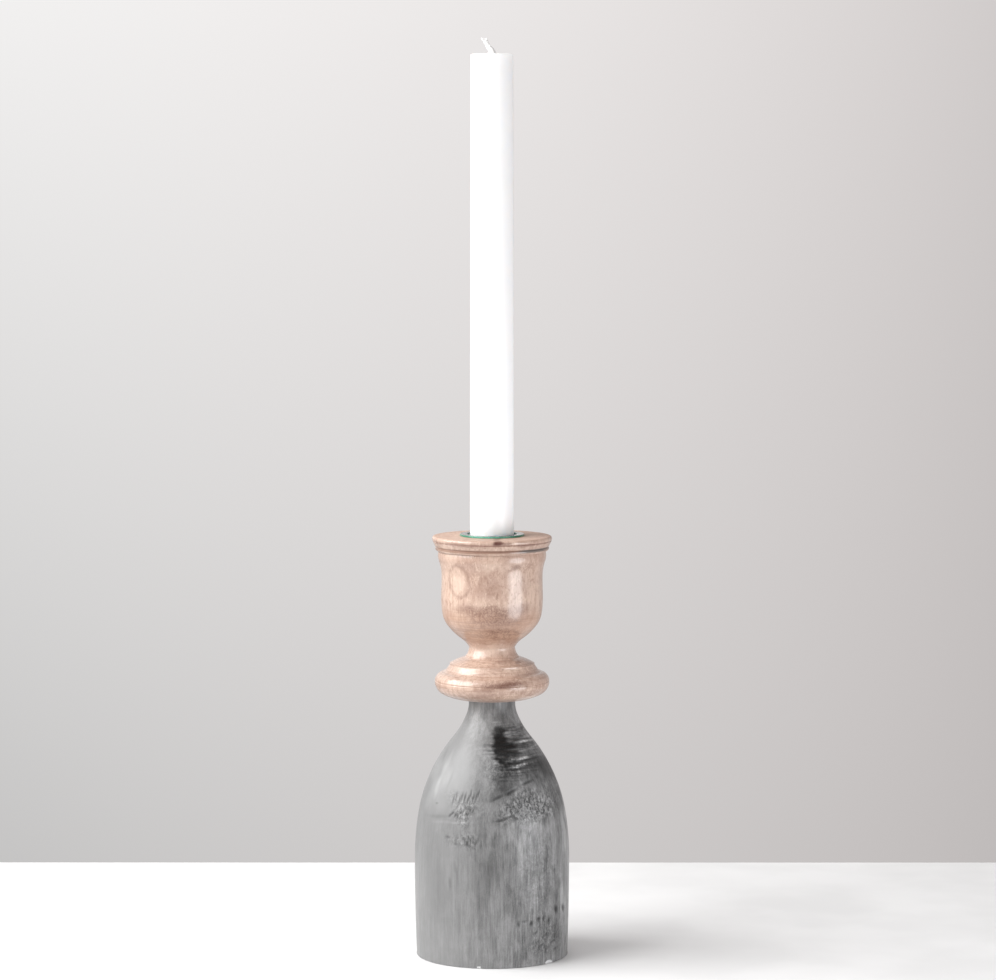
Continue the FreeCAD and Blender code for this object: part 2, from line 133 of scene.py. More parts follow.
def seam_outline(node):
    """The half section of a turned CAD node, read along its seam, as points (radius, height) in
    metres that go round it anticlockwise. A section that meets the axis starts and ends there."""
    mesh = NODES[node].data
    slack = 1e-7
    links = {}
    for edge in mesh.edges:
        ends = [mesh.vertices[i].co for i in edge.vertices]
        if any(abs(p.y) > slack or p.x < -slack for p in ends):
            continue
        a, b = ((round(p.x, 6), round(p.z, 6)) for p in ends)
        if a != b:
            links.setdefault(a, set()).add(b)
            links.setdefault(b, set()).add(a)
    loose = sorted(k for k, near in links.items() if len(near) == 1)
    here = loose[0] if loose else min(links)
    chain = [here]
    while True:
        onward = sorted(links[here] - set(chain))
        if not onward:
            break
        here = onward[0]
        chain.append(here)
    if len(chain) != len(links):
        raise ValueError(f"the seam of {node} is not one line")
    points = np.array(chain)
    if loose:
        first = [[0, points[0, 1]]]
        last = [[0, points[-1, 1]]]
        points = np.concatenate([first, points, last])
    ahead = np.roll(points, -1, axis=0)
    turn = np.sum(points[:, 0] * ahead[:, 1] - ahead[:, 0] * points[:, 1])
    return (points if turn > 0 else points[::-1]), not loose


def directions(points, closed):
    """The way the outline runs at each point just before it and just after it, and the lengths."""
    step = np.roll(points, -1, axis=0) - points
    length = np.hypot(step[:, 0], step[:, 1])
    if not closed:
        step[-1] = step[-2]
        length[-1] = length[-2]
    after = step / length[:, None]
    before = np.roll(after, 1, axis=0)
    length_before = np.roll(length, 1)
    if not closed:
        before[0] = after[0]
        length_before[0] = length[0]
    return before, after, length_before, length


def refine(points, closed, step):
    """More points on the outline, at most a step apart: curves stay curved, corners sharp."""
    corner_from = math.radians(24)
    straight_from = 2.5
    before, after, length_before, length = directions(points, closed)
    corner = np.sum(before * after, axis=1) < math.cos(corner_from)
    weight = length_before / (length + length_before)
    weight = np.where(length > straight_from * length_before, 1, weight)
    weight = np.where(length_before > straight_from * length, 0, weight)
    # The tangent leans to the shorter side's chord, or to a long straight run beside a curve.
    shared = before * (1 - weight)[:, None] + after * weight[:, None]
    shared /= np.hypot(shared[:, 0], shared[:, 1])[:, None]
    leaving = np.where(corner[:, None], after, shared)
    arriving = np.where(corner[:, None], before, shared)
    result = []
    count = len(points)
    for i in range(count if closed else count - 1):
        j = (i + 1) % count
        pieces = max(1, math.ceil(length[i] / step))
        for k in range(pieces):
            t = k / pieces
            start = (2 * t**3 - 3 * t**2 + 1) * points[i] + (3 * t**2 - 2 * t**3) * points[j]
            pull = (t**3 - 2 * t**2 + t) * leaving[i] + (t**3 - t**2) * arriving[j]
            result.append(start + length[i] * pull)
    if not closed:
        result.append(points[-1])
    return np.array(result)


def turn_piece(name, node, step, columns, relief, material, body, slot, paint=None):
    """Makes a piece by turning the CAD node's outline again, finely, with a relief cut into it.
    Paint, if it is given, works out the masks that its material reads."""
    points, closed = seam_outline(node)
    points = refine(points, closed, step)
    before, after, _, _ = directions(points, closed)
    run = before + after
    run /= np.maximum(np.hypot(run[:, 0], run[:, 1]), 1e-9)[:, None]
    out_r = run[:, 1:2]
    out_z = -run[:, 0:1]
    angle = np.arange(columns)[None, :] * TAU / columns
    radius = points[:, 0:1] + 0 * angle
    height = points[:, 1:2] + 0 * angle
    x = radius * np.cos(angle)
    y = radius * np.sin(angle)
    depth = relief(x / MM, y / MM, height / MM, out_r, out_z) * MM
    radius = radius - depth * out_r
    height = height - depth * out_z
    grid = np.stack([radius * np.cos(angle), radius * np.sin(angle), height], -1)
    masks = paint(x / MM, y / MM, points[:, 1:2] / MM + 0 * angle) if paint else {}
    values = {mask: [] for mask in masks}
    vertices = []
    rows = []
    for i in range(len(points)):
        on_axis = points[i, 0] < 1e-9
        used = slice(0, 1) if on_axis else slice(None)
        rows.append((len(vertices), on_axis))
        vertices.extend(grid[i, used].tolist())
        for mask, value in masks.items():
            values[mask].extend(value[i, used].tolist())
    faces = []
    count = len(points)
    for i in range(count if closed else count - 1):
        low, low_axis = rows[i]
        high, high_axis = rows[(i + 1) % count]
        for j in range(columns):
            k = (j + 1) % columns
            corners = [low + j, low + k, high + k, high + j]
            if low_axis:
                corners = [low, high + k, high + j]
            if high_axis:
                corners = [low + j, low + k, high]
            faces.append(corners)
    make_piece(name, vertices, faces, material, body, slot, node, values)


def tube(vertices, faces, path, radius, sides):
    """Adds a closed round tube along a path, one radius for each of its points."""
    path = np.array(path)
    ahead = np.gradient(path, axis=0)
    ahead /= np.linalg.norm(ahead, axis=1)[:, None]
    side = np.cross(ahead[0], [0.3, 1, 0.1])
    start = len(vertices)
    for point, way, size in zip(path, ahead, radius):
        side = side - way * np.dot(side, way)
        side /= np.linalg.norm(side)
        other = np.cross(way, side)
        for k in range(sides):
            a = TAU * k / sides
            vertices.append(list(point + size * (math.cos(a) * side + math.sin(a) * other)))
    for i in range(len(path) - 1):
        for k in range(sides):
            n = (k + 1) % sides
            row = start + i * sides
            faces.append([row + k, row + n, row + sides + n, row + sides + k])
    last = start + (len(path) - 1) * sides
    faces.append([start + k for k in reversed(range(sides))])
    faces.append([last + k for k in range(sides)])


# ---- materials ----

class Nodes:
    """A node tree that calls add to. All but put give back the socket that they make."""

    def __init__(self, tree):
        self.tree = tree

    def put(self, kind, inputs=None, **settings):
        """A new node. Each of its inputs is a socket to link from, or a value."""
        node = self.tree.nodes.new(kind)
        for key, value in settings.items():
            setattr(node, key, value)
        for key, value in (inputs or {}).items():
            if isinstance(value, bpy.types.NodeSocket):
                self.tree.links.new(value, node.inputs[key])
            else:
                node.inputs[key].default_value = value
        return node

    def math(self, operation, a, b=0.0, c=0.0):
        return self.put("ShaderNodeMath", {0: a, 1: b, 2: c}, operation=operation).outputs[0]

    def times(self, a, b):
        return self.math("MULTIPLY", a, b)

    def plus(self, a, b):
        return self.math("ADD", a, b)

    def band(self, value, low, high, at_low=0.0, at_high=1.0, step="SMOOTHSTEP"):
        """at_low up to low, at_high from high on, and a step between: soft, or LINEAR."""
        inputs = {"Value": value, "From Min": low, "From Max": high}
        inputs.update({"To Min": at_low, "To Max": at_high})
        return self.put("ShaderNodeMapRange", inputs, interpolation_type=step).outputs[0]

    def mix(self, factor, a, b):
        """The colour a where the factor is 0, and b where it is 1."""
        return self.put("ShaderNodeMix", {0: factor, 6: a, 7: b}, data_type="RGBA").outputs[2]


class Paint(Nodes):
    """A material on a Principled shader. Its x, y and z are the place in millimetres."""

    def __init__(self, name, **shader):
        self.material = bpy.data.materials.new(name)
        self.material.use_nodes = True
        super().__init__(self.material.node_tree)
        self.shader = self.tree.nodes["Principled BSDF"]
        for socket, value in shader.items():
            self.shader.inputs[socket.replace("_", " ")].default_value = value
        where = self.put("ShaderNodeTexCoord")
        self.at = self.stretch(where.outputs["Object"], (1 / MM, 1 / MM, 1 / MM))
        parts = self.put("ShaderNodeSeparateXYZ", {0: self.at})
        self.x, self.y, self.z = parts.outputs

    def stretch(self, vector, scale):
        """The vector, scaled along x, y and z."""
        return self.put("ShaderNodeMapping", {"Vector": vector, "Scale": scale}).outputs[0]

    def noise(self, scale, detail=2.0, rough=0.5, bend=0.0):
        """Noise from 0 to 1. The scale is cells in a millimetre along x, y and z."""
        inputs = {"Vector": self.stretch(self.at, scale), "Scale": 1.0, "Detail": detail}
        inputs.update({"Roughness": rough, "Distortion": bend})
        return self.put("ShaderNodeTexNoise", inputs).outputs["Fac"]

    def reach(self, x, y):
        """The distance from the upright line that stands at x and y."""
        flat = {0: self.plus(self.x, -x), 1: self.plus(self.y, -y)}
        across = self.put("ShaderNodeCombineXYZ", flat).outputs[0]
        length = self.put("ShaderNodeVectorMath", {0: across}, operation="LENGTH")
        return length.outputs["Value"]

    def mask(self, name):
        """A value that the piece's mesh bears at its vertices."""
        return self.put("ShaderNodeAttribute", attribute_name=name).outputs["Fac"]

    def change(self, value, mask, amount):
        """The value, changed by the amount where the mask is 1."""
        return self.times(value, self.math("MULTIPLY_ADD", mask, amount, 1.0))

    def grey(self, value):
        """A colour with the same value in red, green and blue."""
        return self.put("ShaderNodeCombineColor", {0: value, 1: value, 2: value}).outputs[0]

    def bump(self, height, strength, reach=0.2, under=None):
        """A bumped normal; the reach is the height's full range in millimetres."""
        inputs = {"Height": height, "Strength": strength, "Distance": reach * MM}
        if under is not None:
            inputs["Normal"] = under
        return self.put("ShaderNodeBump", inputs).outputs[0]

    def finish(self, **links):
        """The material, with its shader's inputs linked."""
        for socket, value in links.items():
            self.tree.links.new(value, self.shader.inputs[socket.replace("_", " ")])
        return self.material


def rgb(red, green, blue):
    """An opaque colour, in linear light."""
    return (red, green, blue, 1.0)


# Marks on the base, in millimetres: (x, z, half width, half height, tilt, change of tone).
# Those on the back are given in the same x, so from behind they are mirrored.
BASE_CLOUDS_AND_HIGHLIGHTS = [
    (9.0, 101, 11, 9, 10, -0.55),
    (10, 95.0, 14, 6.5, 20, -0.42),
    (26, 102, 12, 15, 36, -0.65),
    (33, 96, 5, 16, 24, -0.24),
    (7, 128, 9, 12, 0, -0.46),
    (14, 114, 10, 13, 20, -0.55),
    (-2.0, 114, 3.4, 12, 0, -0.20),
    (4, 46, 27, 62, 0, -0.17),
    (-2.5, 49, 6.5, 15, 0, -0.26),
    (-2, 72, 7, 8, 0, -0.16),
    (28, 14, 15, 13, 0, -0.18),
    (20, 83, 20, 11, 8, -0.14),
    (33, 84, 6, 12, 10, -0.34),
    (34.6, 55, 3.2, 40, 0, -0.24),
    # The next two are painted light: a pale reflection of the wall along the right edge, and the key
    # light's highlight on the left shoulder.
    (39.8, 50, 2.4, 60, 0, 0.34),
    (-27.0, 94.0, 7, 19, -20, 0.30),
    (-8, 130, 5, 11, 0, 0.36),
    (-9, 114, 6, 14, -8, 0.05),
    (13, 61, 7, 12, 0, 0.12),
    (31, 44, 4, 12, 0, 0.14),
    (25, 33, 9, 6, 0, 0.10),
    (-14, 8, 22, 9, 0, 0.05),
    (-30, 42, 9, 36, 0, -0.11),
    (-3, 90, 16, 12, 0, -0.20),
    (18, 105, 9, 9, 25, -0.30),
    (25, 99, 10, 12, 30, -0.42),
]
BASE_GOUGES = [
    (18.5, 95.0, 6.4, 1.5, 24, -0.58),
    (10, 91.2, 6.0, 1.6, 24, -0.62),
    (2.5, 87.8, 5.0, 1.5, 18, -0.56),
    (5.5, 77.6, 7.0, 1.4, 12, -0.56),
]
BASE_LINES_AND_HIGHLIGHTS = [
    # Painted reflection: a bright arc where the key light's reflection ends on the left shoulder.
    (-15.5, 75.2, 7.5, 0.8, 6, 0.35),
    # Painted highlights: the next three pale streaks are the low window's reflection on the right.
    (17.5, 76.6, 3.0, 1.0, 20, 0.50),
    (19.7, 72.8, 1.0, 3.6, 0, 0.55),
    (17.0, 66.0, 0.9, 5.0, 2, 0.30),
    (-22, 43.5, 1.1, 5, 3, -0.30),
    (-18.5, 50.0, 1.0, 7, 4, -0.20),
    (21.5, 50.5, 1.0, 6, 0, -0.30),
    # Painted glints: the next six bright lines are light caught on the tool's ridges round the neck.
    (15.0, 114.0, 5.5, 0.8, 4, 2.4),
    (14.3, 106.4, 8.5, 0.85, 4, 3.4),
    (15.0, 103.2, 7.5, 0.85, 4, 2.6),
    (12.0, 118.2, 4.5, 0.7, 3, 1.0),
    (16.0, 110.0, 6.0, 0.7, 4, 1.1),
    (10.5, 99.6, 5.0, 0.7, 4, 0.7),
    (14.3, 104.9, 8.5, 0.8, 4, -0.62),
    (15.0, 101.7, 7.5, 0.8, 4, -0.58),
    (15.0, 112.4, 6.5, 0.8, 4, -0.50),
    (2.5, 124.5, 5.0, 0.7, 0, 0.40),
    (-7.0, 119.0, 0.8, 4.0, -14, -0.18),
    (-28.5, 83.5, 1.0, 0.6, 10, -0.45),
    # Painted highlight: light and dark streaks along the key light's reflection on the left
    # shoulder.
    (-25.5, 99, 1.1, 9, -22, 0.20),
    (-22.0, 105, 1.0, 8, -24, 0.18),
    (-28.5, 91, 1.1, 8, -14, 0.20),
    (-21.5, 96, 0.9, 7, -24, -0.14),
    (-24.0, 107, 0.8, 6, -24, -0.14),
    # Painted reflection: a dark line above a light one, where the key light's reflection ends below.
    (-27.0, 77.0, 9, 1.3, 8, -0.16),
    (-25.0, 74.6, 9, 1.1, 6, 0.14),
]
BASE_NOTCHES = [
    (13.9, 22.5, 1.1, 2.4, 0, -0.72),
    (20.4, 22.5, 1.3, 2.2, 0, -0.82),
    (24.0, 24.0, 1.4, 1.9, 12, -0.72),
    (26.7, 24.2, 1.2, 2.0, 8, -0.74),
    (29.5, 22.4, 1.2, 2.3, 0, -0.78),
    (33.2, 27.8, 1.4, 3.4, 12, -0.88),
    (37.0, 27.0, 1.0, 3.2, 0, -0.70),
    (17.0, 24.0, 2.6, 0.9, 4, -0.40),
    (28.0, 15.5, 3.6, 1.1, 28, -0.50),
    (31.5, 11.0, 3.4, 1.1, 22, -0.42),
    (25.5, 10.0, 2.4, 1.0, 30, -0.40),
    (22.5, 17.5, 2.2, 1.0, 30, -0.36),
    (33.0, 7.0, 3.0, 1.0, 20, -0.36),
]
BASE_DASHES = [
    (-19.8 + 1.45 * i, 86.4 + 0.25 * i + 1.4 * math.sin(2.3 * i), 0.62, 4.0, -14, -0.64)
    for i in range(10)
] + [
    (-21.4 + 1.3 * i, 78.3 + 0.3 * i + 1.1 * math.sin(1.7 * i), 0.75, 1.7, -30, -0.64)
    for i in range(10)
] + [
    (-14.0 + 1.4 * i, 66.0 + 1.6 * math.sin(2.9 * i), 0.6, 3.6, -8, -0.52)
    for i in range(7)
] + [
    (-22.5, 67.5, 1.6, 1.1, 0, -0.42),
    (-18.7, 64.3, 1.6, 1.1, 0, -0.46),
    (-12.9, 64.5, 1.3, 1.3, 0, -0.40),
]
# The near-black patch, its core first, with how black each part of it is.
BASE_BLACK = [
    (3.9, 114.8, 6.4, 9.4, -8, 1.0),
    (9.0, 112.6, 6.6, 4.4, 0, 0.95),
    (4.8, 107.8, 6.8, 5.6, 0, 1.0),
    (10.5, 109.0, 8.0, 2.2, 2, 0.80),
    (11.0, 104.8, 8.0, 1.8, 2, 0.72),
    (6.4, 101.6, 8.6, 3.8, 0, 0.74),
    (4.8, 97.0, 8.0, 4.4, 0, 0.60),
    (6.0, 92.8, 7.0, 3.0, 10, 0.36),
    (3.4, 121.0, 5.6, 2.8, 0, 0.55),
]
# Torn grain, with how torn it is.
BASE_TORN = [
    (19, 83, 25, 12, 6, 1.0),
    (-14, 82, 12, 10, 0, 0.7),
    (-14, 68, 12, 8, 0, 0.6),
    (10, 103, 13, 11, 0, 0.8),
    (23, 46, 16, 34, 0, 0.32),
    (28, 14, 14, 16, 0, 0.60),
    (2, 100, 9, 8, 0, 0.60),
]
BACK_CLOUDS = [
    (-12, 92, 13, 9, -20, -0.30),
    (-8, 108, 8, 9, -10, -0.45),
    (16, 70, 12, 14, 0, -0.16),
    (6, 34, 6, 22, 0, -0.20),
    (20, 98, 9, 12, 20, 0.12),
    (-22, 40, 8, 20, 0, 0.08),
]
BACK_GOUGES = [
    (-10, 99.5, 7, 0.8, -8, -0.45),
    (12, 82, 0.9, 3.0, 10, -0.40),
    (15, 80, 0.9, 3.0, 10, -0.40),
    (18, 83, 0.9, 3.0, 10, -0.40),
    (-16, 28, 0.9, 2.4, 0, -0.45),
    (-12, 26, 1.0, 2.2, 0, -0.50),
]
BACK_TORN = [
    (-5, 84, 24, 11, -8, 1.0),
    (20, 60, 9, 14, 0, 0.5),
]
# Two chips in the lower edge: the pale wood that shows, and the cut itself.
CHIPS_PALE = [(-6.7, 0.5, 1.2, 1.1, 0), (29.4, 0.6, 2.3, 1.5, 0)]
CHIPS_CUT = [(-6.7, 0.6, 1.0, 0.9, 0), (29.7, 0.6, 1.7, 1.4, 0)]


def base_masks(x, y, z):
    """The base's tone where marks change it, painted highlights and reflections among them, its
    black patch, and where it is torn, ribbed by the tool, chipped or sanded smooth."""
    front = smooth(y, *FRONT)
    back = 1 - front
    # Clouds and torn grain wander far, gouges a little, and lines and notches hardly at all.
    far = wandering(x, y, z, 7.0, 9.0, 51)
    near = wandering(x, y, z, 1.6, 2.4, 53)
    still = wandering(x, y, z, 0.8, 6.0, 55)
    tone = scaled(*far, BASE_CLOUDS_AND_HIGHLIGHTS, front) * scaled(*far, BACK_CLOUDS, back)
    tone = tone * scaled(*still, BASE_LINES_AND_HIGHLIGHTS + BASE_NOTCHES + BASE_DASHES, front)
    tone = tone * scaled(*near, BASE_GOUGES, front) * scaled(*near, BACK_GOUGES, back)
    # The patch ends in ragged teeth on its left and fades to the right in lines round the wood.
    teeth = value_noise(x / 5, y / 5, z / 0.7, 57) + value_noise(x / 2, y / 2, z / 1.6, 59)
    teeth = teeth - 1
    ragged = (still[0] + 2.6 * teeth, near[1])
    streaked = 0.75 * smooth(value_noise(x / 9, y / 9, z / 1.1, 58), 0.42, 0.72)
    streaked = 1 - streaked * smooth(x, 6, 14)
    patch = smooth(covered(*ragged, BASE_BLACK, front), 0.02, 0.92)
    broken = smooth(value_noise(x / 2.4, y / 2.4, z / 0.9, 60), 0.25, 0.65)
    patch = patch * (1 - broken * smooth(z, 112, 100) * 0.45)
    patch = patch * smooth(ragged[0], -4.4, 2.2) * streaked
    torn = np.maximum(covered(*far, BASE_TORN, front), covered(*far, BACK_TORN, back))
    # Between the neck and the shoulder the tool has left fine lines round the wood.
    ribbed = ellipse(*far, (11, 110, 17, 18, 0), 0.6) * front
    ribbed = np.maximum(ribbed, ellipse(*far, (-8, 106, 14, 12, 0), 0.4) * back)
    chips = sum(ellipse(x, z, mark, 0.7) for mark in CHIPS_PALE) * front
    # On the left the shoulder was sanded smooth.
    sanded = ellipse(*far, (-23, 99, 20, 36, -24), 0.35) * front
    masks = {"tone": tone, "patch": patch, "torn": torn}
    masks.update({"ribbed": ribbed, "chips": chips, "sanded": sanded})
    return masks


def stained_wood():
    """Grey stain over open grain: vertical fibres, tool marks, a black patch under the neck, and
    painted highlights, glints and reflections in the tone.
    """
    p = Paint("grey_stain", Specular_IOR_Level=0.36, Coat_Roughness=0.28)
    fibre = p.noise((1.7, 1.7, 0.13), 5, 0.66, 0.3)
    strand = p.noise((0.62, 0.62, 0.035), 3, 0.5)
    broad = p.noise((0.26, 0.26, 0.03), 3, 0.5)
    mottle = p.noise((0.19, 0.19, 0.10), 4, 0.62, 0.6)
    speck = p.noise((0.62, 0.62, 0.50), 4, 0.68, 0.5)
    crumb = p.noise((2.4, 2.4, 1.5), 3, 0.6)
    rib = p.noise((0.07, 0.07, 0.95), 4, 0.62, 0.15)
    torn = p.mask("torn")
    patch = p.mask("patch")
    ribbed = p.mask("ribbed")
    calm = p.math("SUBTRACT", 1.0, p.times(p.mask("sanded"), 0.85))
    contrast = p.times(p.band(p.x, -30, 20, 0.28, 1.35), calm)
    value = p.band(fibre, 0.32, 0.68, -0.036, 0.036)
    value = p.plus(value, p.band(strand, 0.30, 0.70, -0.032, 0.032))
    value = p.plus(value, p.band(broad, 0.30, 0.70, -0.024, 0.024))
    value = p.plus(value, p.band(mottle, 0.30, 0.70, -0.034, 0.034))
    value = p.plus(value, p.band(crumb, 0.28, 0.72, -0.020, 0.020))
    value = p.math("MULTIPLY_ADD", value, contrast, 0.208)
    # Torn end grain is speckled light and dark, and the ribbed part has lines round it.
    value = p.change(value, p.times(p.band(speck, 0.49, 0.57), torn), -0.70)
    value = p.change(value, p.times(p.band(speck, 0.46, 0.36), torn), 0.62)
    value = p.change(value, p.times(p.band(rib, 0.50, 0.58), ribbed), -0.55)
    value = p.change(value, p.times(p.band(rib, 0.46, 0.36), ribbed), 0.60)
    # The tone mask holds the marks' changes, with painted highlights, glints and reflections among
    # them.
    value = p.times(value, p.mask("tone"))
    # Pores and lathe lines still show in the black.
    worn = p.times(p.band(rib, 0.36, 0.26, 1.0, 0.90), p.band(crumb, 0.50, 0.66, 1.0, 0.90))
    value = p.change(value, p.times(patch, worn), -0.995)
    value = p.math("MAXIMUM", value, p.times(p.mask("chips"), 0.72))
    rough = p.band(fibre, 0.25, 0.75, 0.48, 0.38)
    coat = p.math("MULTIPLY_ADD", p.mask("sanded"), 0.13, p.band(patch, 0.0, 0.8, 0.10, 0.0))
    normal = p.bump(fibre, 0.26, 0.14)
    normal = p.bump(speck, p.times(torn, 0.25), 0.5, normal)
    normal = p.bump(rib, p.times(ribbed, 0.6), 0.5, normal)
    return p.finish(Base_Color=p.grey(value), Roughness=rough, Normal=normal, Coat_Weight=coat)


# Marks on the cup, in the same form, with how strong each is instead of a change of tone.
CUP_STAINS = [
    (5.2, 218.2, 7.5, 1.8, 0, 0.85),
    (-14, 217.5, 13, 1.2, 0, 0.60),
    (18, 217.2, 10, 1.1, 0, 0.60),
    (7.0, 145.2, 15.0, 2.4, 3, 1.0),
    (-3, 142.8, 9, 1.3, 0, 0.45),
    (-17, 147.6, 9, 1.2, -6, 0.35),
    (17, 149.2, 9, 1.2, 6, 0.40),
    (-18, 137.6, 9, 1.8, 0, 0.30),
    (13.6, 155.2, 2.4, 1.1, 0, 0.50),
    (5.0, 155.6, 6.5, 0.9, 0, 0.30),
    (5.6, 152.3, 0.7, 0.8, 0, 0.60),
    (3, 172.5, 12.5, 2.6, 0, 0.50),
    (1.5, 168.2, 4, 1.6, 0, 0.45),
    (0, 183.0, 24, 4.2, 0, 0.34),
    (-14.5, 184.5, 5.5, 2.4, 0, 0.34),
    (16, 184.5, 8, 4, 0, 0.40),
    (6, 178, 14, 5, 0, 0.34),
    (13, 206.0, 5.5, 1.6, 20, 0.42),
    (-2, 196, 9, 10, 0, 0.22),
    (17.5, 196, 3.5, 11, 0, 0.20),
    (20, 140.5, 8, 2.6, 0, 0.28),
    (-4, 140.0, 10, 2.0, 0, 0.25),
    (22, 215, 8, 1.2, 0, 0.20),
]
CUP_PALE = [
    (-16.7, 198, 4.4, 8.0, 8, 0.42),
    (-21, 144, 8, 2.2, 0, 0.12),
    (-12, 152.5, 12, 1.6, 0, 0.40),
    (0, 161.8, 14, 4.4, 0, 0.42),
    (12, 152.2, 8, 0.8, 0, 0.45),
    (-2, 206, 5, 4, 0, 0.30),
    (-21, 205, 7, 12, 0, 0.20),
    (-8, 187, 9, 4, 0, 0.18),
    (24, 200, 3, 13, 0, 0.15),
]
CUP_FRECKLED = [
    (1, 181, 22, 8, 0, 1.0),
    (4, 171.5, 15, 4.5, 0, 1.0),
    (5, 145.5, 19, 3.6, 0, 1.0),
    (14, 206, 10, 3.5, 0, 0.6),
    (0, 200, 26, 18, 0, 0.22),
]
CUP_BACK = [
    (-9, 190, 8, 6, 0, 0.35),
    (12, 176, 12, 4, 0, 0.40),
    (-3, 146, 14, 0.8, 0, 0.50),
    (16, 205, 5, 5, 0, 0.30),
    (-14, 218, 6, 0.9, 0, 0.45),
]
CUP_BACK_PALE = [
    (0, 162.3, 13, 3.0, 0, 0.75),
    (14, 196, 4, 9, -6, 0.4),
    (-8, 152.5, 10, 1.5, 0, 0.4),
]
CUP_BACK_FRECKLED = [
    (-4, 180, 20, 8, 0, 1.0),
    (10, 208, 9, 4, 0, 0.8),
    (0, 200, 26, 18, 0, 0.35),
]
# The flat top of the rim begins where z goes from the first of these to the second.
RIM_TOP = (219.3, 219.9)


def cup_masks(x, y, z):
    """Where the cup is stained brown, pale or freckled, and the knot in its rim."""
    front = smooth(y, *FRONT)
    back = 1 - front
    far = wandering(x, y, z, 5.0, 6.0, 61)
    near = wandering(x, y, z, 1.4, 2.2, 63)
    stain = covered(*near, CUP_STAINS, front) + covered(*near, CUP_BACK, back)
    # An oval figure in the grain has a thin brown outline.
    quiet = wandering(x, y, z, 1.0, 5.0, 65)
    oval = ellipse(*quiet, (-16.9, 198, 6.6, 10.2, 8), 0.76)
    oval = oval - ellipse(*quiet, (-16.9, 198, 5.2, 8.6, 8), 0.76)
    stain = np.maximum(stain, 0.42 * oval * front)
    knot = ellipse(*quiet, (2.8, 218.8, 3.6, 2.0, 0), 0.35) * front
    pale = covered(*near, CUP_PALE, front) + covered(*near, CUP_BACK_PALE, back)
    freckled = covered(*far, CUP_FRECKLED, front) + covered(*far, CUP_BACK_FRECKLED, back)
    freckled = np.maximum(freckled, 0.3 * smooth(z, 145, 141))
    return {"stain": stain, "pale": pale, "freckled": smooth(freckled, 0, 0.8), "knot": knot}


